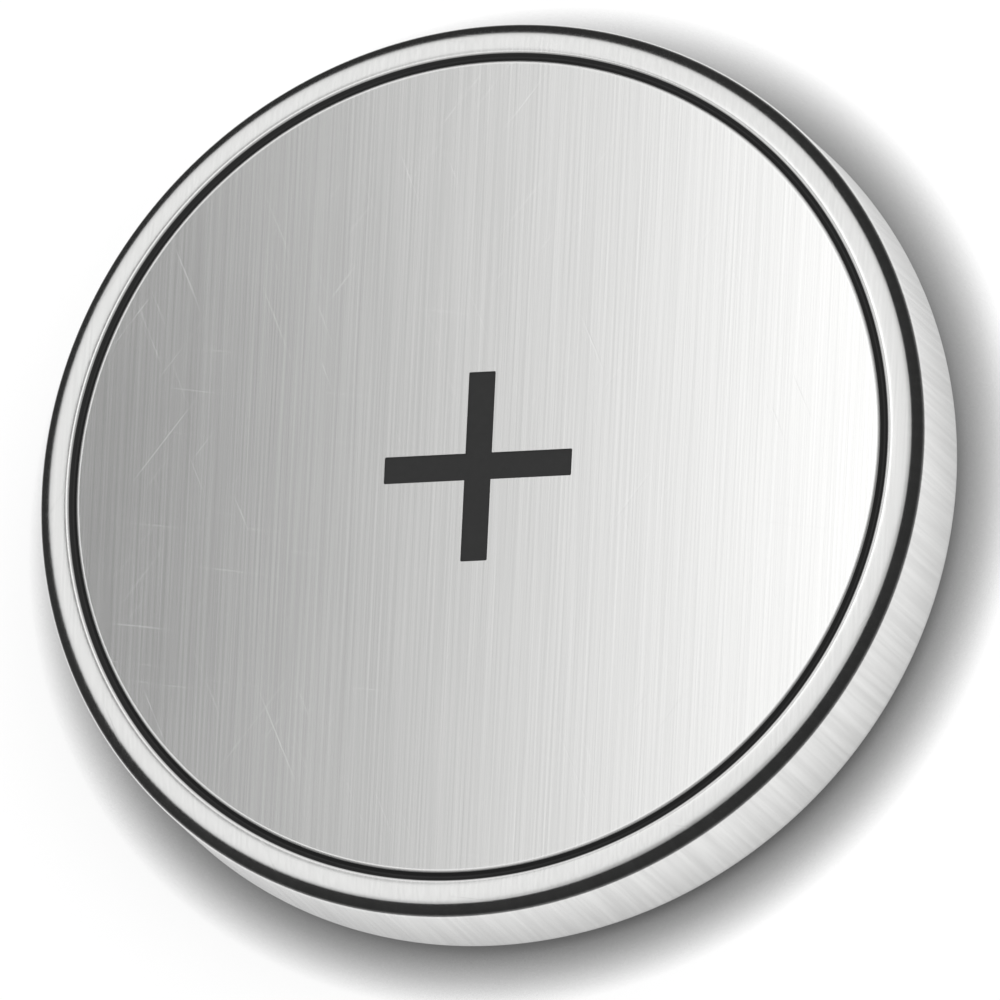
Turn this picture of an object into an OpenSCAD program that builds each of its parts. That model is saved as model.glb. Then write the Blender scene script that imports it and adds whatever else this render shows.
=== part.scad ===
// Lithium coin cell, 20 mm across and 3.2 mm high.
// It stands on its negative cap, with the positive face up. The origin is the centre of
// the cap's outer face, and +Z points out of the positive face. Lengths are in millimetres.

/* [Cell] */
// Outside diameter of the cell
cell_d = 20; // [19:0.1:25]
// Height from the negative face to the positive face
cell_h = 3.2; // [3:0.1:5]

/* [Positive can] */
// Sheet thickness of the can
can_wall = 0.25; // [0.2:0.01:0.3]
// Width of the rounded rim, from the flat face to the side
rim_w = 0.71; // [0.55:0.01:1.2]
// Outside radius of the shallow arc by which the rim leaves the coined ring
rim_arc_r = 1.5; // [1.2:0.1:3]
// Outside radius of the bend where the rim turns down into the side
rim_bend_r = 0.35; // [0.3:0.05:0.5]
// Outside radius of the bend that rolls the side in over the gasket
crimp_r = 0.65; // [0.6:0.05:0.8]
// Width of the rolled-in ring, from the side to the can's mouth
crimp_w = 0.95; // [0.85:0.05:1.2]

/* [Coined face] */
// Width of the coined ring between the flat face and the rim
ring_w = 0.24; // [0.1:0.02:0.4]
// Depth of the coined ring
ring_depth = 0.1; // [0.04:0.01:0.15]
// Length of each bar of the plus sign
plus_span = 4.24; // [3:0.02:8]
// Width of each bar of the plus sign
plus_bar = 0.6; // [0.3:0.02:1]
// Depth of the plus sign's pocket
plus_depth = 0.06; // [0.04:0.01:0.1]
// How far the enamel in the pocket lies below the face
enamel_sink = 0.02; // [0.01:0.005:0.03]

/* [Negative cap] */
// Sheet thickness of the cap
cap_wall = 0.25; // [0.2:0.01:0.3]
// How far the cap stands out past the can's rolled edge
cap_proud = 0.15; // [0.1:0.01:0.25]
// Outside radius of the bend round the negative face
cap_corner_r = 0.45; // [0.35:0.05:0.45]
// Inside radius of the bend where the cap steps out under the crimp
cap_step_r = 0.15; // [0.1:0.01:0.2]

/* [Gasket] */
// Thickness of the gasket between the can and the cap
gasket_wall = 0.25; // [0.2:0.01:0.3]
// Width of the gasket that shows between the can's mouth and the cap
gasket_neck = 0.2; // [0.1:0.01:0.3]
// How far the neck's end lies inside the can's mouth
neck_sink = 0.1; // [0.02:0.01:0.2]
// Thickness of the gasket's foot, between the cap's edge and the can's floor
gasket_foot = 0.25; // [0.15:0.01:0.4]
// Thickness of the lip that hooks round the inside of the cap's edge
gasket_lip_t = 0.25; // [0.15:0.01:0.4]
// Height of that lip above the foot
gasket_lip_h = 0.5; // [0.3:0.05:0.8]

/* [Electrodes] */
// Thickness of the lithium disc
lithium_t = 0.6; // [0.3:0.05:0.8]
// Gap between the lithium disc and the bend of the cap
lithium_gap = 0.6; // [0.3:0.05:2]
// Thickness of the separator
separator_t = 0.15; // [0.1:0.01:0.25]
// Gap between the separator and the wall of the cap
separator_gap = 0.2; // [0.1:0.05:0.5]
// Gap between the cathode pellet and the gasket's lip
pellet_gap = 0.95; // [0.4:0.05:2]
// Chamfer on both edges of the cathode pellet
pellet_chamfer = 0.15; // [0.05:0.05:0.4]

/* [Collector grid] */
// Thickness of the expanded grid between the pellet and the can
grid_t = 0.1; // [0.05:0.01:0.2]
// How far the grid stops short of the pellet's edge
grid_inset = 0.25; // [0:0.05:1]
// Width of the plain rim round the grid
grid_rim = 0.4; // [0.3:0.05:1]
// Long way of one diamond opening
diamond_l = 2; // [1.6:0.1:3]
// Short way of one diamond opening
diamond_w = 1; // [0.8:0.1:1.5]
// Width of the strands between the diamonds
strand_w = 0.25; // [0.15:0.01:0.4]

/* [Hidden] */
$fn = 180;
// Overshoot of a cutting shape past the face that it opens
past = 1;

// Radii, from the outside in
can_r = cell_d / 2;
can_bore_r = can_r - can_wall;
skirt_r = can_bore_r - gasket_wall;
skirt_bore_r = skirt_r - cap_wall;
lip_bore_r = skirt_bore_r - gasket_lip_t;
mouth_r = can_r - crimp_w;
cap_r = mouth_r - gasket_neck;
cap_bore_r = cap_r - cap_wall;

// Bends that share their centre with the bend outside them
crimp_in = max(crimp_r - can_wall, 0);
shoulder_out = max(crimp_in - gasket_wall, 0);
shoulder_in = max(shoulder_out - cap_wall, 0);
cap_corner_in = max(cap_corner_r - cap_wall, 0);

// Heights, from the negative face up
crimp_in_z = cap_proud + can_wall;
neck_z = cap_proud + neck_sink;
shoulder_z = crimp_in_z + gasket_wall;
can_floor_z = cell_h - can_wall;
skirt_end_z = can_floor_z - gasket_foot;

// The rim: a shallow arc starts at the coined ring and rolls over into a bend that ends on the side.
// The two are tangent, so their centres lie as far apart as their radii differ.
rim_start_r = can_r - rim_w;
rim_bend_x = can_r - rim_bend_r;
centres_apart = rim_arc_r - rim_bend_r;
centres_run = rim_bend_x - rim_start_r;
rim_bend_z = cell_h - rim_arc_r + sqrt(pow(centres_apart, 2) - pow(centres_run, 2));
ring_r = rim_start_r - ring_w / 2;

// The stack inside: the pellet takes the height that the other layers leave
separator_z = cap_wall + lithium_t;
pellet_z = separator_z + separator_t;
grid_z = can_floor_z - grid_t;
lithium_r = cap_bore_r - cap_corner_in - lithium_gap;
separator_r = cap_bore_r - separator_gap;
pellet_r = lip_bore_r - pellet_gap;
grid_r = pellet_r - grid_inset;

// Pitch of the diamonds: each is grown by half a strand on its four sides
diamond_reach = diamond_l * diamond_w / 2 / norm([diamond_l, diamond_w]);
diamond_grow = 1 + strand_w / 2 / diamond_reach;
pitch_l = diamond_l * diamond_grow;
pitch_w = diamond_w * diamond_grow;

// Radius at which the rim's shallow arc meets its bend, on a face that lies inset inside the can's
function rim_arc_end_r(inset) = rim_start_r + (rim_arc_r - inset) * centres_run / centres_apart;

// The waste that rounds a lower edge at radius r and height z
module edge_waste(r, z, bend) {
    difference() {
        translate([r - bend, z - past])
            square(bend + past);
        translate([r - bend, z + bend])
            circle(bend);
    }
}

// Half section of a solid puck, from the axis out, with its lower edge rounded
module puck_section(r, low, high, bend) {
    difference() {
        translate([0, low])
            square([r, high - low]);
        if (bend > 0)
            edge_waste(r, low, bend);
    }
}

// Half section of a puck that has the can's rim as its upper edge. Its face lies inset inside the can's.
module rimmed_section(low, bend_low, inset) {
    rim_h = cell_h - inset - rim_bend_z;
    puck_section(can_r - inset, low, rim_bend_z, bend_low);
    translate([0, rim_bend_z])
        square([rim_start_r, rim_h]);
    intersection() {
        translate([rim_start_r, cell_h - rim_arc_r])
            circle(rim_arc_r - inset);
        translate([0, rim_bend_z])
            square([rim_arc_end_r(inset), rim_h]);
    }
    if (rim_bend_r > inset)
        translate([rim_bend_x, rim_bend_z])
            circle(rim_bend_r - inset);
}

// Half section of the room inside the can
module can_room_section() {
    rimmed_section(crimp_in_z, crimp_in, can_wall);
}

// Half section of the can: a drawn cup whose edge is rolled in over the gasket
module can_section() {
    difference() {
        rimmed_section(cap_proud, crimp_r, 0);
        can_room_section();
        translate([0, cap_proud - past])
            square([mouth_r, shoulder_z - cap_proud + past]);
    }
}

// Half section of the V that coins a ring into the positive face
module ring_section() {
    polygon([
        [ring_r, cell_h - ring_depth],
        [ring_r + ring_w / 2, cell_h],
        [ring_r + ring_w / 2, cell_h + past],
        [ring_r - ring_w / 2, cell_h + past],
        [ring_r - ring_w / 2, cell_h]
    ]);
}

// Half section of the metal that a bend leaves where the cap steps out.
// Both faces of the sheet share its centre.
module step_fill(bend) {
    difference() {
        translate([0, shoulder_z - cap_step_r])
            square([cap_r + cap_step_r, bend]);
        translate([cap_r + cap_step_r, shoulder_z - cap_step_r])
            circle(bend);
    }
}

// Half section of all that the cap's outer face encloses, down to the cut edge of its skirt
module cap_envelope_section() {
    puck_section(cap_r, 0, skirt_end_z, cap_corner_r);
    puck_section(skirt_r, shoulder_z, skirt_end_z, shoulder_out);
    step_fill(cap_step_r);
}

// Half section of the room inside the cap
module cap_room_section() {
    puck_section(cap_bore_r, cap_wall, skirt_end_z + past, cap_corner_in);
    puck_section(skirt_bore_r, shoulder_z + cap_wall, skirt_end_z + past, shoulder_in);
    step_fill(cap_step_r + cap_wall);
}

// Half section of the gasket: it lines the can from its mouth to its floor, and hooks round the skirt's edge
module gasket_section() {
    difference() {
        union() {
            can_room_section();
            translate([0, neck_z])
                square([mouth_r, shoulder_z - neck_z]);
        }
        cap_envelope_section();
        translate([0, skirt_end_z - past])
            square([lip_bore_r, gasket_foot + 2 * past]);
    }
    translate([lip_bore_r, skirt_end_z - gasket_lip_h])
        square([gasket_lip_t, gasket_lip_h + gasket_foot]);
}

// Plan of the plus sign
module plus_plan() {
    square([plus_span, plus_bar], center = true);
    square([plus_bar, plus_span], center = true);
}

// One diamond opening of the grid
module diamond() {
    polygon([[diamond_l / 2, 0], [0, diamond_w / 2], [-diamond_l / 2, 0], [0, -diamond_w / 2]]);
}

// Every diamond whose four points lie inside the grid's rim, in staggered rows
module diamond_field() {
    rows = ceil(2 * grid_r / pitch_w);
    columns = ceil(grid_r / pitch_l);
    for (row = [-rows : rows], column = [-columns : columns]) {
        x = pitch_l * (column + (row % 2 == 0 ? 0 : 0.5));
        y = pitch_w * row / 2;
        far = max(norm([abs(x) + diamond_l / 2, y]), norm([x, abs(y) + diamond_w / 2]));
        if (far < grid_r - grid_rim)
            translate([x, y])
                diamond();
    }
}

// Nickel-plated steel can with the coined ring and the pocket for the plus sign
module positive_can() {
    color("#D2D2D2")
        difference() {
            rotate_extrude()
                difference() {
                    can_section();
                    ring_section();
                }
            translate([0, 0, cell_h - plus_depth])
                linear_extrude(plus_depth + past)
                    plus_plan();
        }
}

// Dark enamel that fills the pocket to just under the face
module plus_enamel() {
    color("#333333")
        translate([0, 0, cell_h - plus_depth])
            linear_extrude(plus_depth - enamel_sink)
                plus_plan();
}

// Steel cap: a drawn hat whose skirt reaches up inside the gasket
module negative_cap() {
    color("#C8C8C8")
        rotate_extrude()
            difference() {
                cap_envelope_section();
                cap_room_section();
            }
}

// Moulded polypropylene ring that seals the cap to the can and keeps them apart
module gasket() {
    color("#303234")
        rotate_extrude()
            gasket_section();
}

// Expanded steel grid that carries current from the pellet to the can
module collector_grid() {
    color("#9FA3A6")
        translate([0, 0, grid_z])
            linear_extrude(grid_t)
                difference() {
                    circle(grid_r);
                    diamond_field();
                }
}

// Pressed manganese dioxide pellet
module cathode_pellet() {
    color("#242322")
        rotate_extrude()
            polygon([
                [0, pellet_z],
                [pellet_r - pellet_chamfer, pellet_z],
                [pellet_r, pellet_z + pellet_chamfer],
                [pellet_r, grid_z - pellet_chamfer],
                [pellet_r - pellet_chamfer, grid_z],
                [0, grid_z]
            ]);
}

// Non-woven disc that keeps the electrodes apart
module separator() {
    color("#F2F1EC")
        translate([0, 0, separator_z])
            cylinder(r = separator_r, h = separator_t);
}

// Lithium foil disc, pressed into the cap
module lithium_disc() {
    color("#BFC2C4")
        translate([0, 0, cap_wall])
            cylinder(r = lithium_r, h = lithium_t);
}

positive_can();
plus_enamel();
negative_cap();
gasket();
collector_grid();
cathode_pellet();
separator();
lithium_disc();
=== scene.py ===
"""A lithium coin cell, standing on its negative cap on a white table with its plus sign up.

The shells of the cell are turned from half sections round its axis. They are built in
millimetres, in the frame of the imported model, and become metres as each piece is finished.
"""

from __future__ import annotations

import logging
import math
from abc import ABC, abstractmethod
from dataclasses import dataclass
from enum import Enum
from typing import Any, Callable, Sequence

import bmesh
import bpy
from mathutils import Matrix, Vector

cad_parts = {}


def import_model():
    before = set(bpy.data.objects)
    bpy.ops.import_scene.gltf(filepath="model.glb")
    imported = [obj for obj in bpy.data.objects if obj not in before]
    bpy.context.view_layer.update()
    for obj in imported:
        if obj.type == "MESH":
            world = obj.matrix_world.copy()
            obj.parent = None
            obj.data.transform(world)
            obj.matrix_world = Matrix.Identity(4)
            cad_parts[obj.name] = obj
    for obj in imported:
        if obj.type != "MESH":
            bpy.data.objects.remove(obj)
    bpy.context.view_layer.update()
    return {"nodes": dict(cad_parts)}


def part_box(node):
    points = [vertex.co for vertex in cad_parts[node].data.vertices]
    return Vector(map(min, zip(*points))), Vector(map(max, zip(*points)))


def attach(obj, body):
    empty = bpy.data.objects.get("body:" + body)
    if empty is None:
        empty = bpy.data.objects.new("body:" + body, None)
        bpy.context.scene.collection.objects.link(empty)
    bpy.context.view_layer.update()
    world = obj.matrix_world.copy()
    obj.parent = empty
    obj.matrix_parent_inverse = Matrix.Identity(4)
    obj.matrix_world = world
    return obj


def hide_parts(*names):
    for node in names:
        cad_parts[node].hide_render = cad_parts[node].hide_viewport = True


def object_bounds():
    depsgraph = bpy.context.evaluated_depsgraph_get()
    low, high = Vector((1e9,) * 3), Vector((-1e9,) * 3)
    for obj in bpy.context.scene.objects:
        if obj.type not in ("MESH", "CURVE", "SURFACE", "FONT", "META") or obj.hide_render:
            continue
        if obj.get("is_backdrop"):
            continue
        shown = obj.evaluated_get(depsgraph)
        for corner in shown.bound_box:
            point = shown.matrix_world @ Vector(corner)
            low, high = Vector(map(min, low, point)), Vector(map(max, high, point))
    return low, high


LOG = logging.getLogger("coin_cell")

Tree = bpy.types.NodeTree
Socket = bpy.types.NodeSocket
Mesh = bmesh.types.BMesh
Paint = Callable[[Tree, Socket], Socket]
# What the Principled shader's inputs take, and the height of the relief
Skin = tuple[dict[str, Any], Socket]

MM = 0.001
UP = Vector((0, 0, 1))
# Noise runs from about LOW to HIGH
LOW, HIGH = 0.3, 0.7
OCTAVES = 3.0


class Slot(Enum):
    """The record's material slots, one for each node."""

    CAN = "can_steel"
    ENAMEL = "plus_enamel"
    CAP = "cap_steel"
    GASKET = "gasket_polypropylene"
    GRID = "grid_steel"
    PELLET = "cathode_mix"
    SEPARATOR = "separator_felt"
    LITHIUM = "lithium_foil"


# ---------------------------------------------------------------- finishes


def linear(code: str) -> tuple[float, float, float, float]:
    """Turns an sRGB colour into the linear colour that shaders read.

    Args:
        code: The colour as "#RRGGBB".

    Returns:
        Linear red, green, blue and an alpha of 1.
    """
    values = [int(code[i : i + 2], 16) / 255 for i in (1, 3, 5)]
    red, green, blue = (v / 12.92 if v <= 0.04045 else ((v + 0.055) / 1.055) ** 2.4 for v in values)
    return red, green, blue, 1.0


WHITE = linear("#FFFFFF")


def per_mm(size: float) -> float:
    """The scale at which one repeat of a pattern takes up a size in millimetres."""
    return 1 / (size * MM)


def even_noise(place: Socket, size: float) -> dict[str, Any]:
    """The inputs of noise with one size every way, in millimetres, as patches and grains have."""
    return {"Vector": place, "Scale": per_mm(size), "Detail": OCTAVES}


def add_node(
    tree: Tree, kind: str, inputs: dict[str | int, Any] | None = None, **settings: Any
) -> bpy.types.Node:
    """Adds a shader node, with its settings and its inputs.

    Args:
        tree: The node tree that takes the node.
        kind: The node's type, without its "ShaderNode".
        inputs: A value, or an output socket to link from, for each input's name or number.
        settings: The node's own options.

    Returns:
        The new node.
    """
    node = tree.nodes.new("ShaderNode" + kind)
    for option, value in settings.items():
        setattr(node, option, value)
    for name, value in (inputs or {}).items():
        if isinstance(value, Socket):
            tree.links.new(value, node.inputs[name])
        else:
            node.inputs[name].default_value = value
    return node


def empty_material(name: str) -> tuple[bpy.types.Material, Tree]:
    """Makes a material with no nodes in it yet, and gives its node tree too."""
    material = bpy.data.materials.new(name)
    material.use_nodes = True
    material.node_tree.nodes.clear()
    return material, material.node_tree


class Finish(ABC):
    """How one real surface is made and what that gives the eye.

    Its lengths are in millimetres. The depth is the real depth of the surface's relief, and the
    strength is how much of it shows.
    """

    name: str
    colour: str
    depth: float
    strength: float

    @abstractmethod
    def skin(self, tree: Tree, place: Socket) -> Skin:
        """Draws the patterns.

        Args:
            tree: The material's node tree.
            place: The piece's own coordinates, in metres.

        Returns:
            What the Principled shader's inputs take, and the height of the relief.
        """

    def material(self) -> bpy.types.Material:
        """Makes the material from its skin."""
        material, tree = empty_material(self.name)
        place = add_node(tree, "TexCoord").outputs["Object"]
        inputs, height = self.skin(tree, place)
        bump = {"Height": height, "Distance": self.depth * MM, "Strength": self.strength}
        inputs["Normal"] = add_node(tree, "Bump", bump).outputs[0]
        skin = add_node(tree, "BsdfPrincipled", inputs)
        add_node(tree, "OutputMaterial", {"Surface": skin.outputs[0]})
        return material

    def varied(
        self, tree: Tree, pattern: Socket, dark: Socket | float, light: float = 1.0
    ) -> Socket:
        """Lets the finish's colour follow a soft pattern.

        Args:
            tree: The material's node tree.
            pattern: A pattern that runs from about LOW to HIGH.
            dark: What the colour is multiplied by where the pattern is low.
            light: What it is multiplied by where the pattern is high.

        Returns:
            The varied colour.
        """
        shade = {0: pattern, 1: LOW, 2: HIGH, 3: dark, 4: light}
        tone = add_node(tree, "MapRange", shade).outputs[0]
        own = {0: 1.0, 6: linear(self.colour), 7: tone}
        return add_node(tree, "Mix", own, data_type="RGBA", blend_type="MULTIPLY").outputs[2]

    def strands(
        self, tree: Tree, place: Socket, turn_deg: float, *sizes: float, wander: float
    ) -> Socket:
        """Noise drawn out one way, as scratches, fibres and rolling lines are.

        Args:
            tree: The material's node tree.
            place: The piece's own coordinates.
            turn_deg: Turn of the strands about the Z axis.
            sizes: Width across the strands, length along them and reach in height.
            wander: How far the strands stray from straight.

        Returns:
            The noise, from about LOW to HIGH.
        """
        laid = {0: place, 2: (0, 0, math.radians(turn_deg)), 3: tuple(size * MM for size in sizes)}
        turned = add_node(tree, "Mapping", laid, vector_type="TEXTURE").outputs[0]
        noise = {"Vector": turned, "Scale": 1.0, "Detail": OCTAVES, "Distortion": wander}
        return add_node(tree, "TexNoise", noise).outputs[0]


class SheetMetal(Finish):
    """A finish with the fine straight lines that rolling leaves in sheet metal."""

    line_gap: float
    line_length: float
    line_wander: float = 0.1

    def rolling_lines(self, tree: Tree, place: Socket) -> Socket:
        """The rolling lines, which run along the Y axis."""
        sizes = self.line_gap, self.line_length, self.line_gap
        return self.strands(tree, place, 0.0, *sizes, wander=self.line_wander)


@dataclass(frozen=True)
class NickelPlate(SheetMetal):
    """Nickel plate on deep-drawn steel sheet, tumbled clean after the cell is crimped.

    The plate is bright but not a mirror. The sheet's rolling lines run straight across the face,
    the side has upright marks from the die, and the coined ring is coloured dark in its groove.
    """

    name: str = "nickel_plated_steel"
    colour: str = "#E9E9E8"
    # Dark colour laid into the coined ring's groove, below the face's flat, with its roughness and
    # metal below
    ring_dark: str = "#222222"
    depth: float = 0.004
    strength: float = 0.2
    # Real lines and die marks are finer, and these are drawn coarser so that they show
    line_gap: float = 0.06
    line_length: float = 7.0
    line_tone: float = 0.93
    die_gap: float = 0.13
    die_length: float = 5.0
    die_tone: float = 0.85
    patch: float = 5.0
    scratch_turns: tuple[float, ...] = (24.0, -37.0, 81.0)
    scratch_width: float = 0.06
    scratch_length: float = 4.2
    scratch_wander: float = 0.2
    scratch_band: tuple[float, float] = (0.7, 0.76)
    scratch_cut: float = -0.5
    roughness: float = 0.15
    patch_roughness: float = 0.01
    grain_roughness: float = 0.05
    scratch_roughness: float = 0.06
    ring_dark_roughness: float = 0.4
    ring_dark_metal: float = 0.3
    face_z: float = 3.2
    side_z: float = 2.8
    side_r: float = 10.0
    ring_r: float = 9.35
    # How far below the face its lines have died out, and where they start to
    lines_fade: tuple[float, float] = (0.12, 0.02)
    # How far below the face the ring's dark colour starts, and where it is whole
    ring_dark_rise: tuple[float, float] = (0.01, 0.03)

    def skin(self, tree: Tree, place: Socket) -> Skin:
        """Draws the face's lines, the side's die marks, scratches, and the dark colour in the ring.
        """
        height = add_node(tree, "SeparateXYZ", {0: place}).outputs[2]
        flat = {0: place, 1: (1, 1, 0)}
        level = add_node(tree, "VectorMath", flat, operation="MULTIPLY").outputs[0]
        none, whole = ((self.face_z - drop) * MM for drop in self.lines_fade)
        on_face = add_node(tree, "MapRange", {0: height, 1: none, 2: whole}).outputs[0]
        lines = self.rolling_lines(tree, place)
        worked = {0: on_face, 2: self.die_marks(tree, place, level), 3: lines}
        grain = add_node(tree, "Mix", worked, data_type="FLOAT").outputs[0]
        scratches = self.scratches(tree, place)
        # Where the dark colour lies in the coined ring's groove
        ring_dark = self.ring_darkening(tree, height, level)

        fading = {1: self.side_z * MM, 2: self.face_z * MM, 3: self.die_tone, 4: self.line_tone}
        darkest = add_node(tree, "MapRange", {0: height, **fading}).outputs[0]
        ring_darkened = {0: ring_dark, 6: self.varied(tree, grain, darkest), 7: linear(self.ring_dark)}
        metal_share = {0: ring_dark, 3: 1.0, 4: self.ring_dark_metal}
        scored = {0: scratches, 1: self.scratch_cut, 2: grain}
        return {
            "Base Color": add_node(tree, "Mix", ring_darkened, data_type="RGBA").outputs[2],
            "Metallic": add_node(tree, "MapRange", metal_share).outputs[0],
            "Roughness": self.worn(tree, place, grain, scratches, ring_dark),
        }, add_node(tree, "Math", scored, operation="MULTIPLY_ADD").outputs[0]

    def die_marks(self, tree: Tree, place: Socket, level: Socket) -> Socket:
        """Upright marks on the side: noise over the direction from the axis, drawn out in height.

        Args:
            tree: The material's node tree.
            place: The piece's own coordinates.
            level: The same with no height.

        Returns:
            The marks, from about LOW to HIGH.
        """
        spoke = add_node(tree, "VectorMath", {0: level}, operation="NORMALIZE").outputs[0]
        turns = self.side_r / self.die_gap
        around = {0: spoke, 1: (turns, turns, turns)}
        wall = add_node(tree, "VectorMath", around, operation="MULTIPLY").outputs[0]
        upward = {0: place, 1: (0, 0, per_mm(self.die_length)), 2: wall}
        drawn = add_node(tree, "VectorMath", upward, operation="MULTIPLY_ADD").outputs[0]
        noise = {"Vector": drawn, "Scale": 1.0, "Detail": OCTAVES}
        return add_node(tree, "TexNoise", noise).outputs[0]

    def scratches(self, tree: Tree, place: Socket) -> Socket:
        """Fine handling scratches: 1 on a scratch and 0 beside it."""
        total: Socket | float = 0.0
        sizes = self.scratch_width, self.scratch_length, self.scratch_length
        beside, within = self.scratch_band
        for turn_deg in self.scratch_turns:
            noise = self.strands(tree, place, turn_deg, *sizes, wander=self.scratch_wander)
            line = add_node(tree, "MapRange", {0: noise, 1: beside, 2: within}).outputs[0]
            total = add_node(tree, "Math", {0: total, 1: line}, operation="MAXIMUM").outputs[0]
        return total

    def ring_darkening(self, tree: Tree, height: Socket, level: Socket) -> Socket:
        """Dark colour where the face is coined: below its flat, and inside the start of the rim.

        Args:
            tree: The material's node tree.
            height: Height above the table.
            level: The piece's own coordinates with no height.

        Returns:
            1 in the dark ring and 0 beside it.
        """
        none, whole = ((self.face_z - drop) * MM for drop in self.ring_dark_rise)
        low = add_node(tree, "MapRange", {0: height, 1: none, 2: whole}).outputs[0]
        radius = add_node(tree, "VectorMath", {0: level}, operation="LENGTH").outputs["Value"]
        reach = {0: radius, 1: self.ring_r * MM}
        inside = add_node(tree, "Math", reach, operation="LESS_THAN").outputs[0]
        return add_node(tree, "Math", {0: low, 1: inside}, operation="MULTIPLY").outputs[0]

    def worn(
        self, tree: Tree, place: Socket, grain: Socket, scratches: Socket, ring_dark: Socket
    ) -> Socket:
        """The roughness: soft patches of it, and what each kind of mark adds.

        Args:
            tree: The material's node tree.
            place: The piece's own coordinates.
            grain: The rolling lines and die marks.
            scratches: The scratches.
            ring_dark: The dark colour in the ring's groove.

        Returns:
            The roughness.
        """
        patches = add_node(tree, "TexNoise", even_noise(place, self.patch)).outputs[0]
        least, most = self.roughness - self.patch_roughness, self.roughness + self.patch_roughness
        soft = {0: patches, 1: LOW, 2: HIGH, 3: least, 4: most}
        rough = add_node(tree, "MapRange", soft).outputs[0]
        for mark, share in (
            (grain, self.grain_roughness),
            (scratches, self.scratch_roughness),
            (ring_dark, self.ring_dark_roughness),
        ):
            added = {0: mark, 1: share, 2: rough}
            rough = add_node(tree, "Math", added, operation="MULTIPLY_ADD").outputs[0]
        return rough


@dataclass(frozen=True)
class StovedEnamel(Finish):
    """Dark stoved enamel, wiped into the plus sign's pocket: matt, with a faint orange peel."""

    name: str = "stoved_enamel"
    colour: str = "#262626"
    depth: float = 0.004
    strength: float = 0.25
    peel: float = 0.14
    tones: tuple[float, float] = (0.92, 1.08)
    roughness: tuple[float, float] = (0.48, 0.6)
    gloss: float = 0.25

    def skin(self, tree: Tree, place: Socket) -> Skin:
        """Draws the orange peel and a slight change of tone."""
        peel = add_node(tree, "TexNoise", even_noise(place, self.peel)).outputs[0]
        smooth, dull = self.roughness
        return {
            "Base Color": self.varied(tree, peel, *self.tones),
            "Roughness": add_node(tree, "MapRange", {0: peel, 3: smooth, 4: dull}).outputs[0],
            "Specular IOR Level": self.gloss,
        }, peel


@dataclass(frozen=True)
class StippledSteel(SheetMetal):
    """Stainless steel sheet with a matt, finely stippled face, as the rolls leave it on a cap."""

    name: str = "stippled_stainless_steel"
    colour: str = "#D4D5D5"
    depth: float = 0.012
    strength: float = 0.35
    stipple: float = 0.16
    line_gap: float = 0.08
    line_length: float = 4.0
    line_height: float = 0.3
    patch: float = 2.6
    patch_tone: float = 0.95
    roughness: float = 0.23
    line_roughness: float = 0.14

    def skin(self, tree: Tree, place: Socket) -> Skin:
        """Draws the stipple, the sheet's rolling lines and soft patches."""
        dots = {"Vector": place, "Scale": per_mm(self.stipple)}
        pits = add_node(tree, "TexVoronoi", dots, feature="SMOOTH_F1").outputs[0]
        lines = self.rolling_lines(tree, place)
        patches = add_node(tree, "TexNoise", even_noise(place, self.patch)).outputs[0]
        rough = {0: lines, 1: self.line_roughness, 2: self.roughness}
        pressed = {0: lines, 1: self.line_height, 2: pits}
        return {
            "Base Color": self.varied(tree, patches, self.patch_tone),
            "Metallic": 1.0,
            "Roughness": add_node(tree, "Math", rough, operation="MULTIPLY_ADD").outputs[0],
        }, add_node(tree, "Math", pressed, operation="MULTIPLY_ADD").outputs[0]


@dataclass(frozen=True)
class MouldedPolypropylene(Finish):
    """Dark polypropylene, moulded and then squeezed in the crimp. It is waxy, with a soft sheen."""

    name: str = "moulded_polypropylene"
    colour: str = "#2A2C2E"
    depth: float = 0.004
    strength: float = 0.3
    erosion: float = 0.05
    bloom: float = 1.1
    tones: tuple[float, float] = (0.88, 1.12)
    roughness: tuple[float, float] = (0.36, 0.54)

    def skin(self, tree: Tree, place: Socket) -> Skin:
        """Draws the mould's fine erosion and a waxy change of gloss."""
        bloom = add_node(tree, "TexNoise", even_noise(place, self.bloom)).outputs[0]
        erosion = add_node(tree, "TexNoise", even_noise(place, self.erosion)).outputs[0]
        smooth, dull = self.roughness
        return {
            "Base Color": self.varied(tree, bloom, *self.tones),
            "Roughness": add_node(tree, "MapRange", {0: bloom, 3: smooth, 4: dull}).outputs[0],
        }, erosion


@dataclass(frozen=True)
class PressedOxide(Finish):
    """Manganese dioxide pressed with carbon: black, dry and granular, with graphite glints."""

    name: str = "pressed_manganese_dioxide"
    colour: str = "#232221"
    glint: str = "#5A5A5C"
    depth: float = 0.02
    strength: float = 0.6
    grain: float = 0.09
    flake_band: tuple[float, float] = (0.78, 0.86)
    pore: float = 0.35
    pore_height: float = 1.6
    roughness: float = 0.9
    flake_roughness: float = 0.5

    def skin(self, tree: Tree, place: Socket) -> Skin:
        """Draws the pressed grains, their pores and the graphite flakes."""
        grains = add_node(tree, "TexVoronoi", {"Vector": place, "Scale": per_mm(self.grain)})
        beside, within = self.flake_band
        flaked = {0: grains.outputs["Color"], 1: beside, 2: within}
        flakes = add_node(tree, "MapRange", flaked).outputs[0]
        pores = add_node(tree, "TexNoise", even_noise(place, self.pore)).outputs[0]
        flecked = {0: flakes, 6: linear(self.colour), 7: linear(self.glint)}
        dull = {0: flakes, 3: self.roughness, 4: self.flake_roughness}
        pitted = {0: pores, 1: self.pore_height, 2: grains.outputs[0]}
        return {
            "Base Color": add_node(tree, "Mix", flecked, data_type="RGBA").outputs[2],
            "Roughness": add_node(tree, "MapRange", dull).outputs[0],
        }, add_node(tree, "Math", pitted, operation="MULTIPLY_ADD").outputs[0]


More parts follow.
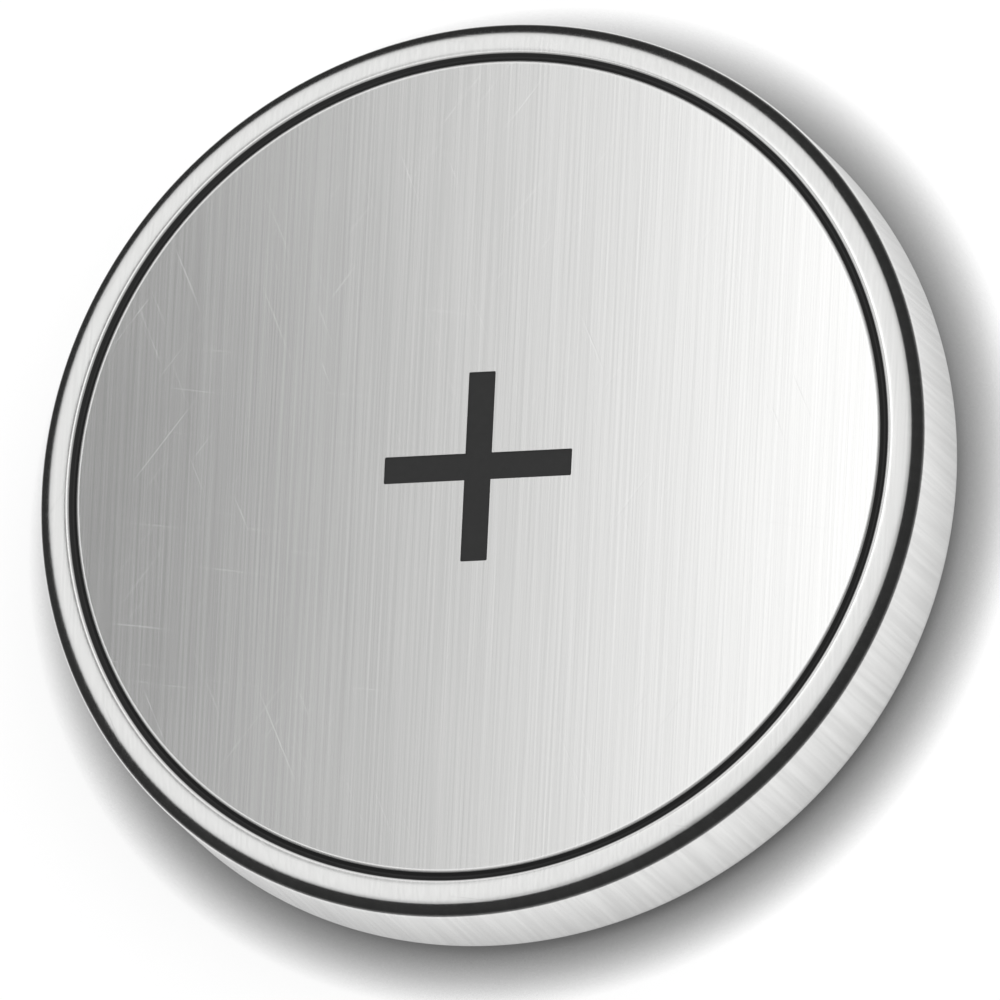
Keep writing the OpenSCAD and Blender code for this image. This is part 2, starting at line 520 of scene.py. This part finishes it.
@dataclass(frozen=True)
class NonWoven(Finish):
    """Melt-blown polypropylene felt: white, with fine fibres that lie every way."""

    name: str = "non_woven_polypropylene"
    colour: str = "#F1F0EC"
    depth: float = 0.015
    strength: float = 0.6
    # Real fibres are about 0.01 mm thick, and these are drawn coarser so that they show
    fibre: float = 0.04
    fibre_length: float = 0.8
    fibre_reach: float = 0.3
    fibre_wander: float = 1.2
    lays: tuple[float, ...] = (12.0, 71.0, 129.0)
    # Painted shade: how dark the colour is in the hollows between the fibres
    hollow_shade: float = 0.8
    roughness: float = 0.85
    sheen: float = 0.2

    def skin(self, tree: Tree, place: Socket) -> Skin:
        """Lays sets of fibres over each other, and paints shade into the hollows between them."""
        total: Socket | float = 0.0
        sizes = self.fibre, self.fibre_length, self.fibre_reach
        for turn_deg in self.lays:
            fibres = self.strands(tree, place, turn_deg, *sizes, wander=self.fibre_wander)
            total = add_node(tree, "Math", {0: total, 1: fibres}, operation="MAXIMUM").outputs[0]
        return {
            "Base Color": self.varied(tree, total, self.hollow_shade),
            "Roughness": self.roughness,
            "Sheen Weight": self.sheen,
        }, total


@dataclass(frozen=True)
class RolledFoil(SheetMetal):
    """Bare rolled metal, lithium or steel: rolling lines, and a dull bloom in patches."""

    name: str
    colour: str
    roughness: float = 0.3
    depth: float = 0.006
    strength: float = 0.3
    line_gap: float = 0.09
    line_length: float = 5.0
    line_roughness: float = 0.15
    bloom: float = 2.2
    bloom_band: tuple[float, float] = (0.48, 0.66)
    bloom_tone: float = 0.72
    bloom_roughness: float = 0.5

    def skin(self, tree: Tree, place: Socket) -> Skin:
        """Draws the rolling lines and the patches of bloom."""
        lines = self.rolling_lines(tree, place)
        bloom = add_node(tree, "TexNoise", even_noise(place, self.bloom)).outputs[0]
        clean, dulled = self.bloom_band
        dull = {0: bloom, 1: clean, 2: dulled, 3: self.roughness, 4: self.bloom_roughness}
        lined = {0: lines, 1: self.line_roughness, 2: add_node(tree, "MapRange", dull).outputs[0]}
        return {
            "Base Color": self.varied(tree, bloom, 1.0, self.bloom_tone),
            "Metallic": 1.0,
            "Roughness": add_node(tree, "Math", lined, operation="MULTIPLY_ADD").outputs[0],
        }, lines


# ---------------------------------------------------------------- meshes


def as_object(bm: Mesh, name: str, material: bpy.types.Material) -> bpy.types.Object:
    """Turns a mesh into an object, and frees the mesh.

    Args:
        bm: The mesh, in millimetres.
        name: The object's name.
        material: Its material.

    Returns:
        The object, in metres.
    """
    bmesh.ops.scale(bm, vec=Vector((MM, MM, MM)), verts=bm.verts[:])
    mesh = bpy.data.meshes.new(name)
    bm.to_mesh(mesh)
    bm.free()
    mesh.materials.append(material)
    thing = bpy.data.objects.new(name, mesh)
    bpy.context.scene.collection.objects.link(thing)
    return thing


def round_off(bm: Mesh, corners: list[bmesh.types.BMVert], reach: float, facets: int) -> None:
    """Rounds corners of a flat outline.

    Args:
        bm: The mesh.
        corners: The corners' vertices.
        reach: How far the rounding reaches along each side.
        facets: How many straight parts it has.
    """
    bmesh.ops.bevel(
        bm,
        geom=corners,
        offset=reach,
        offset_type="OFFSET",
        segments=facets,
        profile=0.5,
        affect="VERTICES",
        material=-1,
    )


def cut_off(bm: Mesh, point: Vector, outward: Vector) -> None:
    """Cuts off what lies beyond a plane, which is given by a point and the direction it faces."""
    every = bm.verts[:] + bm.edges[:] + bm.faces[:]
    bmesh.ops.bisect_plane(bm, geom=every, plane_co=point, plane_no=outward, clear_outer=True)


# ---------------------------------------------------------------- turned shells


@dataclass(frozen=True)
class Corner:
    """A corner of a half section: its distance from the axis, its height and its bend's reach."""

    r: float
    z: float
    bend: float = 0.0

    def distance(self, other: Corner) -> float:
        """How far apart two corners lie."""
        return math.dist((self.r, self.z), (other.r, other.z))

    def toward(self, other: Corner, reach: float) -> Corner:
        """The plain point that lies a given way along the line to another corner."""
        share = reach / self.distance(other)
        return Corner(self.r + (other.r - self.r) * share, self.z + (other.z - self.z) * share)


@dataclass(frozen=True)
class Lathe:
    """Turns half sections round the Z axis, with every bend rounded."""

    steps: int = 360
    facets_per_mm: float = 60.0
    fewest_facets: int = 3
    guard: float = 0.02
    # The straight stretch that a side needs before it takes a guard point
    room: float = 0.06
    merge: float = 0.0001

    def guarded(self, corners: Sequence[Corner]) -> list[Corner]:
        """Adds a plain point just past each end of a bend, so that its shading stays off the flats.

        Args:
            corners: The section's corners, in order.

        Returns:
            The corners with the points added between them.
        """
        result: list[Corner] = []
        for i, corner in enumerate(corners):
            before, after = corners[i - 1], corners[(i + 1) % len(corners)]
            fits = [
                corner.bend > 0 and corner.distance(other) - other.bend - corner.bend > self.room
                for other in (before, after)
            ]
            if fits[0]:
                result.append(corner.toward(before, corner.bend + self.guard))
            result.append(corner)
            if fits[1]:
                result.append(corner.toward(after, corner.bend + self.guard))
        return result

    def turn(self, corners: Sequence[Corner], ring: bool = False) -> Mesh:
        """Turns a half section into a shell.

        Args:
            corners: The section's corners.
            ring: Whether the section closes on itself, clear of the axis. If not, it starts and
                ends on an open side.

        Returns:
            The turned shell, in millimetres.
        """
        bm = bmesh.new()
        outline = self.guarded(corners)
        verts = [bm.verts.new((c.r, 0, c.z)) for c in outline]
        bm.faces.new(verts)
        for bend in sorted({c.bend for c in outline if c.bend > 0}):
            alike = [v for v, c in zip(verts, outline) if c.bend == bend]
            round_off(bm, alike, bend, max(self.fewest_facets, round(bend * self.facets_per_mm)))
        bmesh.ops.delete(bm, geom=bm.faces[:], context="FACES_ONLY")
        if not ring:
            bmesh.ops.delete(bm, geom=[bm.edges.get((verts[-1], verts[0]))], context="EDGES")
        bmesh.ops.spin(
            bm,
            geom=bm.verts[:] + bm.edges[:],
            cent=(0, 0, 0),
            axis=UP,
            angle=math.tau,
            steps=self.steps,
            use_merge=True,
        )
        bmesh.ops.remove_doubles(bm, verts=bm.verts[:], dist=self.merge)
        return bm


LATHE = Lathe()


# ---------------------------------------------------------------- the cell's pieces


@dataclass(frozen=True)
class Extent:
    """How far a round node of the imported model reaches, in millimetres."""

    radius: float
    low: float
    high: float

    @classmethod
    def of(cls, node: str) -> Extent:
        """Reads a node's reach from the frame."""
        low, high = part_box(node)
        return cls(high[0] / MM, low[2] / MM, high[2] / MM)


class Piece(ABC):
    """One solid of the cell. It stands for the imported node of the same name."""

    node: str
    slot: Slot
    finish: Finish
    sharp_angle: float = math.radians(32)

    @abstractmethod
    def shape(self, extent: Extent) -> Mesh:
        """Models the piece, in millimetres.

        Args:
            extent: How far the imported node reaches.

        Returns:
            The piece's mesh.
        """

    def build(self) -> bpy.types.Object:
        """Models the piece, dresses it and hands it to the frame.

        Returns:
            The finished object, in metres.
        """
        bm = self.shape(Extent.of(self.node))
        bmesh.ops.remove_doubles(bm, verts=bm.verts[:], dist=LATHE.merge)
        bmesh.ops.recalc_face_normals(bm, faces=bm.faces[:])
        for face in bm.faces:
            face.smooth = True
        for edge in bm.edges:
            edge.smooth = edge.calc_face_angle(0.0) < self.sharp_angle
        piece = as_object(bm, self.node + "_piece", self.finish.material())
        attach(piece, "root")
        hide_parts(self.node)
        LOG.info("%s: %d faces", piece.name, len(piece.data.polygons))
        return piece


@dataclass(frozen=True)
class PlusSign:
    """The plan of the plus sign: two bars of one length and width that cross at the centre."""

    span: float = 4.24
    bar: float = 0.6
    corner: float = 0.03
    corner_facets: int = 3

    def lay(self, bm: Mesh, height: float) -> list[bmesh.types.BMFace]:
        """Lays the sign flat: a square, an arm out of each side, and the outer corners rounded.

        Args:
            bm: The mesh that takes the sign.
            height: The height that it lies at.

        Returns:
            The sign's faces.
        """
        others = set(bm.faces)
        at_height = Matrix.Translation(UP * height)
        half = self.bar / 2
        square = bmesh.ops.create_grid(bm, x_segments=1, y_segments=1, size=half, matrix=at_height)
        tips = []
        for side in {e for v in square["verts"] for e in v.link_edges}:
            outward = ((side.verts[0].co + side.verts[1].co) / 2 - UP * height).normalized()
            arm = bmesh.ops.extrude_edge_only(bm, edges=[side])["geom"]
            tips += [g for g in arm if isinstance(g, bmesh.types.BMVert)]
            bmesh.ops.translate(bm, vec=outward * (self.span - self.bar) / 2, verts=tips[-2:])
        round_off(bm, tips, self.corner, self.corner_facets)
        return [f for f in bm.faces if f not in others]


@dataclass(frozen=True)
class Rim:
    """The can's rim: a shallow arc that leaves the face, and the bend that leads to the side."""

    width: float = 0.71
    arc: float = 1.5
    bend: float = 0.35

    @property
    def roll(self) -> float:
        """The slope at which the arc meets the bend."""
        return math.asin((self.width - self.bend) / (self.arc - self.bend))

    def corners(self, side: float, top: float, inset: float) -> tuple[Corner, Corner]:
        """The two corners of the rim on a face that lies inside the can's outer one.

        Args:
            side: The can's outer radius.
            top: The height of the can's face.
            inset: How far the face lies inside the can's.

        Returns:
            The corner of the arc and the corner of the bend.
        """
        bend_z = top - self.arc + (self.arc - self.bend) * math.cos(self.roll)
        arc_reach = (self.arc - inset) * math.tan(self.roll / 2)
        bend_reach = (self.bend - inset) * math.tan((math.pi / 2 - self.roll) / 2)
        return (
            Corner(side - self.width + arc_reach, top - inset, arc_reach),
            Corner(side - inset, bend_z + bend_reach, bend_reach),
        )


@dataclass
class PositiveCan(Piece):
    """The drawn can: positive face, coined ring, side wall and the edge rolled over the gasket."""

    plus: PlusSign
    rim: Rim
    wall: float = 0.25
    crimp: float = 0.65
    crimp_width: float = 0.95
    ring_width: float = 0.24
    ring_depth: float = 0.1
    pocket_depth: float = 0.06
    edge_break: float = 0.03
    # Inside this radius the face is filled in round the plus sign
    hub: float = 3.0

    node = "positive_can"
    slot = Slot.CAN
    finish = NickelPlate()

    @property
    def mouth(self) -> float:
        """Radius of the can's mouth."""
        return Extent.of(self.node).radius - self.crimp_width

    def shape(self, extent: Extent) -> Mesh:
        """Turns the can's section and sinks the plus sign's pocket into its face."""
        outer, low, top = extent.radius, extent.low, extent.high
        inner = low + self.wall
        start = outer - self.rim.width
        out_arc, out_bend = self.rim.corners(outer, top, 0)
        in_arc, in_bend = self.rim.corners(outer, top, self.wall)
        bm = LATHE.turn(
            [
                Corner(self.hub, top),
                Corner(start - self.ring_width, top, self.edge_break),
                Corner(start - self.ring_width / 2, top - self.ring_depth, self.edge_break),
                Corner(start, top, self.edge_break),
                out_arc,
                out_bend,
                Corner(outer, low, self.crimp),
                Corner(self.mouth, low, self.edge_break),
                Corner(self.mouth, inner, self.edge_break),
                Corner(outer - self.wall, inner, self.crimp - self.wall),
                in_bend,
                in_arc,
                Corner(0, top - self.wall),
            ]
        )
        rim = [e for e in bm.edges if e.is_boundary]
        sign = self.plus.lay(bm, top)
        outline = [e for f in sign for e in f.edges if e.is_boundary]
        bmesh.ops.triangle_fill(bm, edges=rim + outline, use_beauty=True)
        pocket = bmesh.ops.extrude_face_region(bm, geom=sign)["geom"]
        floor = [g for g in pocket if isinstance(g, bmesh.types.BMVert)]
        bmesh.ops.translate(bm, vec=-UP * self.pocket_depth, verts=floor)
        bmesh.ops.delete(bm, geom=sign, context="FACES")
        return bm


@dataclass
class PlusEnamel(Piece):
    """The enamel in the plus sign's pocket, drawn up a little where it wets the pocket's walls."""

    plus: PlusSign
    wetting: float = 0.012
    sag: float = 0.004

    node = "plus_enamel"
    slot = Slot.ENAMEL
    finish = StovedEnamel()

    def shape(self, extent: Extent) -> Mesh:
        """Raises the plus sign, then lets its middle sag."""
        bm = bmesh.new()
        base = self.plus.lay(bm, extent.low)
        raised = bmesh.ops.extrude_face_region(bm, geom=base, use_keep_orig=True)["geom"]
        lifted = [g for g in raised if isinstance(g, bmesh.types.BMVert)]
        bmesh.ops.translate(bm, vec=UP * (extent.high - extent.low), verts=lifted)
        top = [g for g in raised if isinstance(g, bmesh.types.BMFace)]
        for fall in (self.sag, 0.0):
            bmesh.ops.inset_region(bm, faces=top, thickness=self.wetting, use_even_offset=True)
            bmesh.ops.translate(bm, vec=-UP * fall, verts=list({v for f in top for v in f.verts}))
        return bm


@dataclass
class NegativeCap(Piece):
    """The drawn cap: negative face, stepped shoulder and the skirt inside the gasket."""

    face_radius: float
    wall: float = 0.25
    corner: float = 0.45
    step: float = 0.15
    shoulder: float = 0.65
    edge_break: float = 0.03

    node = "negative_cap"
    slot = Slot.CAP
    finish = StippledSteel()

    def shape(self, extent: Extent) -> Mesh:
        """Turns the cap's section."""
        outer, low, end = extent.radius, extent.low, extent.high
        bore, narrow = outer - self.wall, self.face_radius - self.wall
        high = self.shoulder + self.wall
        return LATHE.turn(
            [
                Corner(0, low),
                Corner(self.face_radius, low, self.corner),
                Corner(self.face_radius, self.shoulder, self.step),
                Corner(outer, self.shoulder, self.step),
                Corner(outer, end, self.edge_break),
                Corner(bore, end, self.edge_break),
                Corner(bore, high),
                Corner(narrow, high, self.step + self.wall),
                Corner(narrow, low + self.wall, self.corner - self.wall),
                Corner(0, low + self.wall),
            ]
        )


@dataclass
class Gasket(Piece):
    """The moulded ring between the can and the cap. Its neck shows in the can's mouth."""

    can: PositiveCan
    cap: NegativeCap
    wall: float = 0.25
    neck: float = 0.2
    foot: float = 0.25
    lip_height: float = 0.5
    edge_break: float = 0.03

    node = "gasket"
    slot = Slot.GASKET
    finish = MouldedPolypropylene()

    def shape(self, extent: Extent) -> Mesh:
        """Turns the gasket's section: neck, step, side, foot and the lip inside the skirt."""
        can, cap = self.can, self.cap
        low, top = extent.low, extent.high
        skirt, end = extent.radius - self.wall, top - self.foot
        bore, lip = skirt - cap.wall, skirt - 2 * cap.wall
        floor = cap.shoulder - self.wall
        arc, bend = can.rim.corners(extent.radius + can.wall, top + can.wall, can.wall)
        # The neck's end meets the bend round the negative face
        sunk = cap.corner - low
        waist = cap.face_radius - cap.corner + math.sqrt(cap.corner**2 - sunk**2)
        return LATHE.turn(
            [
                Corner(waist, low),
                Corner(cap.face_radius, cap.corner),
                Corner(cap.face_radius, cap.shoulder, cap.step),
                Corner(skirt, cap.shoulder, cap.step),
                Corner(skirt, end),
                Corner(bore, end),
                Corner(bore, end - self.lip_height),
                Corner(lip, end - self.lip_height, self.edge_break),
                Corner(lip, top, self.edge_break),
                arc,
                bend,
                Corner(extent.radius, floor, can.crimp - can.wall),
                Corner(can.mouth, floor),
                Corner(can.mouth, low, self.edge_break),
            ],
            ring=True,
        )


@dataclass
class RoundDisc(Piece):
    """A plain disc with its two edges broken: the pellet, the separator or the lithium."""

    node: str
    slot: Slot
    finish: Finish
    edge: float

    def shape(self, extent: Extent) -> Mesh:
        """Turns the disc's section."""
        return LATHE.turn(
            [
                Corner(0, extent.low),
                Corner(extent.radius, extent.low, self.edge),
                Corner(extent.radius, extent.high, self.edge),
                Corner(0, extent.high),
            ]
        )


@dataclass
class ElectrodeStack:
    """What lies between the can and the cap: pellet and grid, separator and lithium."""

    pellet_edge: float = 0.15
    felt_edge: float = 0.04
    foil_edge: float = 0.08

    def build(self, nodes: dict[str, bpy.types.Object]) -> None:
        """Args:
            nodes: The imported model's nodes by name.
        """
        RoundDisc("cathode_pellet", Slot.PELLET, PressedOxide(), self.pellet_edge).build()
        foil = RolledFoil("lithium_foil", "#C3C6C8")
        lithium = RoundDisc("lithium_disc", Slot.LITHIUM, foil, self.foil_edge).build()
        felt = RoundDisc("separator", Slot.SEPARATOR, NonWoven(), self.felt_edge).build()
        across = 2 * Extent.of("separator").radius * MM
        grid = nodes["collector_grid"]
        steel = RolledFoil("expanded_steel", "#A6AAAD", roughness=0.32)
        grid.data.materials.clear()
        grid.data.materials.append(steel.material())
        LOG.info("%s: dressed", grid.name)


# ---------------------------------------------------------------- studio


@dataclass
class Studio:
    """The table, the light and the camera.

    The camera looks straight down and is then leaned over, so that the plus sign stays upright in
    the picture while the side of the cell shows at the lower right. Lengths are in millimetres.
    """

    facets: int = 96
    world_light: float = 0.75

    lean_azimuth: float = 48.0
    tilt: float = 25.0
    view_width: float = 21.46
    aim_shift: tuple[float, float] = (-0.03, -0.27)
    camera_gap: float = 60.0

    paper: str = "#808080"
    table_radius: float = 600.0
    table_sink: float = 0.001
    table_glow: float = 0.8
    shadow_reach: float = 1.4
    shadow_samples: int = 8
    # The side of the cell mirrors a softer shadow than the one that the camera sees
    mirrored_shadow: float = 1.0
    seen_shadow: float = 3.5

    card_gap: float = 70.0
    card_radius: float = 17.0
    card_facets: int = 64
    card_tones: tuple[float, float] = (0.32, 1.42)
    card_contrast: float = 2.2

    dome_radius: float = 90.0
    dome_tone: float = 0.5
    near_tone: float = 0.55
    horizon_tone: float = 0.85
    grey_height: float = 45.0
    dome_patch: float = 45.0
    dome_shares: tuple[float, float] = (0.6, 1.4)
    window_tilt: float = 22.0
    window: float = 34.0

    collar_gap: float = 0.4
    collar_drop: float = 0.7
    collar_far: float = 0.35
    collar_near: float = 1.5
    collar_tone: float = 0.028
    collar_foot: float = 0.3
    foot_tone: float = 0.3

    lamp_place: tuple[float, float, float] = (70.0, 40.0, 120.0)
    lamp_size: float = 140.0
    lamp_watts: float = 0.1

    @property
    def lean(self) -> Vector:
        """The level direction in which the camera leans."""
        angle = math.radians(self.lean_azimuth)
        return Vector((math.sin(angle), -math.cos(angle), 0))

    def across(self, tilt_deg: float) -> Vector:
        """The direction that is tilted from upright, away from the camera's lean."""
        tilt = math.radians(tilt_deg)
        return UP * math.cos(tilt) - self.lean * math.sin(tilt)

    def build(self) -> None:
        """Sets up everything round the cell."""
        low, high = (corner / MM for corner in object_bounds())
        self.add_world()
        self.add_table(low.z)
        self.add_card(UP * high.z)
        self.add_dome()
        self.add_collar(high)
        self.add_key()
        self.add_camera((low + high) / 2)
        bpy.context.scene.view_settings.view_transform = "Standard"

    def background_rays(self, tree: Tree) -> Socket:
        """1 for rays from the camera, from gloss and through glass, and 0 for all other light."""
        path = add_node(tree, "LightPath").outputs
        seen: Socket = path["Is Camera Ray"]
        for kind in ("Is Glossy Ray", "Is Transmission Ray"):
            seen = add_node(tree, "Math", {0: seen, 1: path[kind]}, operation="MAXIMUM").outputs[0]
        return seen

    def add_world(self) -> None:
        """A white surround that lights the cell at a plain level."""
        world = bpy.data.worlds.new("studio_surround")
        world.use_nodes = True
        tree = world.node_tree
        tree.nodes.clear()
        level = {0: self.background_rays(tree), 3: self.world_light, 4: 1.0}
        strength = add_node(tree, "MapRange", level).outputs[0]
        surround = add_node(tree, "Background", {"Color": WHITE, "Strength": strength})
        add_node(tree, "OutputWorld", {"Surface": surround.outputs[0]})
        bpy.context.scene.world = world

    def add_table(self, height: float) -> None:
        """A matt white table. Most of its white is its own, and fades close to the cell."""
        material, tree = empty_material("white_table")
        paper = add_node(tree, "BsdfDiffuse", {"Color": linear(self.paper)})
        reach = {"Distance": self.shadow_reach * MM}
        open_sky = add_node(tree, "AmbientOcclusion", reach, samples=self.shadow_samples)
        camera = add_node(tree, "LightPath").outputs["Is Camera Ray"]
        powers = {0: camera, 3: self.mirrored_shadow, 4: self.seen_shadow}
        faded = {0: open_sky.outputs["AO"], 1: add_node(tree, "MapRange", powers).outputs[0]}
        shadow = add_node(tree, "Math", faded, operation="POWER").outputs[0]
        seen = {0: self.background_rays(tree), 4: self.table_glow}
        own = add_node(tree, "MapRange", seen).outputs[0]
        strength = add_node(tree, "Math", {0: own, 1: shadow}, operation="MULTIPLY").outputs[0]
        glow = add_node(tree, "Emission", {"Color": WHITE, "Strength": strength})
        both = add_node(tree, "AddShader", {0: paper.outputs[0], 1: glow.outputs[0]})
        add_node(tree, "OutputMaterial", {"Surface": both.outputs[0]})
        bm = bmesh.new()
        bmesh.ops.create_circle(bm, cap_ends=True, radius=self.table_radius, segments=self.facets)
        bmesh.ops.translate(bm, vec=UP * (height - self.table_sink), verts=bm.verts[:])
        as_object(bm, "white_table", material)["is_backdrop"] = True

    def add_mirrored(self, bm: Mesh, name: str, paint: Paint) -> None:
        """Adds a card that shines by itself and that only gloss mirrors.

        Args:
            bm: The card's mesh.
            name: The card's name.
            paint: Draws how brightly it shines, in a node tree and from the card's own coordinates.
        """
        material, tree = empty_material(name)
        place = add_node(tree, "TexCoord").outputs["Object"]
        glow = add_node(tree, "Emission", {"Color": WHITE, "Strength": paint(tree, place)})
        add_node(tree, "OutputMaterial", {"Surface": glow.outputs[0]})
        card = as_object(bm, name, material)
        for kind in ("camera", "diffuse", "transmission", "shadow", "volume_scatter"):
            setattr(card, "visible_" + kind, False)
        card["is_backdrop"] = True

    def add_card(self, face_centre: Vector) -> None:
        """A round card that the face mirrors.

        Args:
            face_centre: The centre of the cell's upper face, in millimetres.
        """
        centre = face_centre + self.across(self.tilt) * self.card_gap

        def paint(tree: Tree, place: Socket) -> Socket:
            """Grades it from grey on the left to white on the right."""
            across = add_node(tree, "SeparateXYZ", {0: place}).outputs[0]
            left, right = (centre.x - self.card_radius) * MM, (centre.x + self.card_radius) * MM
            grey, white = self.card_tones
            graded = {0: across, 1: left, 2: right, 3: grey, 4: white}
            steeper = {0: add_node(tree, "MapRange", graded).outputs[0], 1: self.card_contrast}
            return add_node(tree, "Math", steeper, operation="POWER").outputs[0]

        bm = bmesh.new()
        bmesh.ops.create_circle(
            bm, cap_ends=True, radius=self.card_radius, segments=self.card_facets
        )
        bmesh.ops.translate(bm, vec=centre, verts=bm.verts[:])
        self.add_mirrored(bm, "graded_card", paint)

    def add_dome(self) -> None:
        """A dome of grey cards, which gives the metal something to mirror from every side.

        A round window is left in it about what the face mirrors.
        """

        def paint(tree: Tree, place: Socket) -> Socket:
            """Pales it towards the horizon, less on the near side, and makes it uneven."""
            height = add_node(tree, "SeparateXYZ", {0: place}).outputs[2]
            toward = {0: place, 1: self.lean}
            reach = add_node(tree, "VectorMath", toward, operation="DOT_PRODUCT").outputs["Value"]
            low = {0: reach, 2: self.dome_radius * MM, 3: self.horizon_tone, 4: self.near_tone}
            horizon = add_node(tree, "MapRange", low).outputs[0]
            greyest = self.dome_radius * math.sin(math.radians(self.grey_height)) * MM
            pale = {0: height, 2: greyest, 3: horizon, 4: self.dome_tone}
            tone = add_node(tree, "MapRange", pale).outputs[0]
            patches = {"Vector": place, "Scale": per_mm(self.dome_patch), "Detail": 0.0}
            uneven = add_node(tree, "TexNoise", patches).outputs[0]
            least, most = self.dome_shares
            spread = {0: uneven, 1: LOW, 2: HIGH, 3: least, 4: most}
            share = add_node(tree, "MapRange", spread).outputs[0]
            return add_node(tree, "Math", {0: tone, 1: share}, operation="MULTIPLY").outputs[0]

        bm = bmesh.new()
        bmesh.ops.create_uvsphere(
            bm, u_segments=self.facets, v_segments=self.facets // 2, radius=self.dome_radius
        )
        facing = self.across(self.window_tilt)
        pane = facing * self.dome_radius * math.cos(math.radians(self.window))
        cut_off(bm, Vector(), -UP)
        cut_off(bm, pane, facing)
        self.add_mirrored(bm, "grey_dome", paint)

    def add_collar(self, corner: Vector) -> None:
        """A dark card that stands round the rim, so that the rim's bend mirrors a dark line.

        It is higher on the near side, where the camera sees more of the bend.

        Args:
            corner: The upper corner of the cell's box, in millimetres.
        """
        foot, radius = corner.z - self.collar_drop, corner.x + self.collar_gap

        def paint(tree: Tree, place: Socket) -> Socket:
            """Makes it dark, and paler at its foot."""
            height = add_node(tree, "SeparateXYZ", {0: place}).outputs[2]
            end = foot + self.collar_foot
            pale = {0: height, 1: foot * MM, 2: end * MM, 3: self.foot_tone, 4: self.collar_tone}
            return add_node(tree, "MapRange", pale).outputs[0]

        bm = bmesh.new()
        depth = self.collar_near + self.collar_drop
        bmesh.ops.create_cone(
            bm,
            cap_ends=False,
            segments=2 * self.facets,
            radius1=radius,
            radius2=radius,
            depth=depth,
        )
        bmesh.ops.translate(bm, vec=UP * (foot + depth / 2), verts=bm.verts[:])
        slope = (self.collar_near - self.collar_far) / (2 * radius)
        middle = corner.z + (self.collar_near + self.collar_far) / 2
        cut_off(bm, UP * middle, UP - self.lean * slope)
        self.add_mirrored(bm, "dark_collar", paint)

    def add_key(self) -> None:
        """One broad soft lamp, high on the right."""
        lamp = bpy.data.lights.new("key_lamp", "AREA")
        lamp.shape, lamp.size, lamp.energy = "DISK", self.lamp_size * MM, self.lamp_watts
        thing = bpy.data.objects.new("key_lamp", lamp)
        thing.location = Vector(self.lamp_place) * MM
        thing.rotation_euler = thing.location.to_track_quat("Z", "Y").to_euler()
        thing.visible_glossy = False
        bpy.context.scene.collection.objects.link(thing)

    def add_camera(self, centre: Vector) -> None:
        """A camera without perspective, leaned over towards the lower right of the picture."""
        data = bpy.data.cameras.new("camera")
        data.type = "ORTHO"
        data.ortho_scale = self.view_width * MM
        data.clip_start, data.clip_end = MM, 1.0
        turn = Matrix.Rotation(math.radians(self.tilt), 4, UP.cross(self.lean))
        camera = bpy.data.objects.new("camera", data)
        shift = Vector((*self.aim_shift, self.camera_gap))
        camera.matrix_world = Matrix.Translation((centre + turn.to_3x3() @ shift) * MM) @ turn
        bpy.context.scene.collection.objects.link(camera)
        bpy.context.scene.camera = camera


def main() -> None:
    """Builds the cell from the outside in, then the studio."""
    logging.basicConfig(level=logging.INFO, format="%(name)s: %(message)s")
    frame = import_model()
    plus = PlusSign()
    can = PositiveCan(plus=plus, rim=Rim())
    cap = NegativeCap(face_radius=can.mouth - Gasket.neck)
    for piece in (can, PlusEnamel(plus=plus), cap, Gasket(can=can, cap=cap)):
        piece.build()
    ElectrodeStack().build(frame["nodes"])
    Studio().build()


if __name__ == "__main__":
    main()
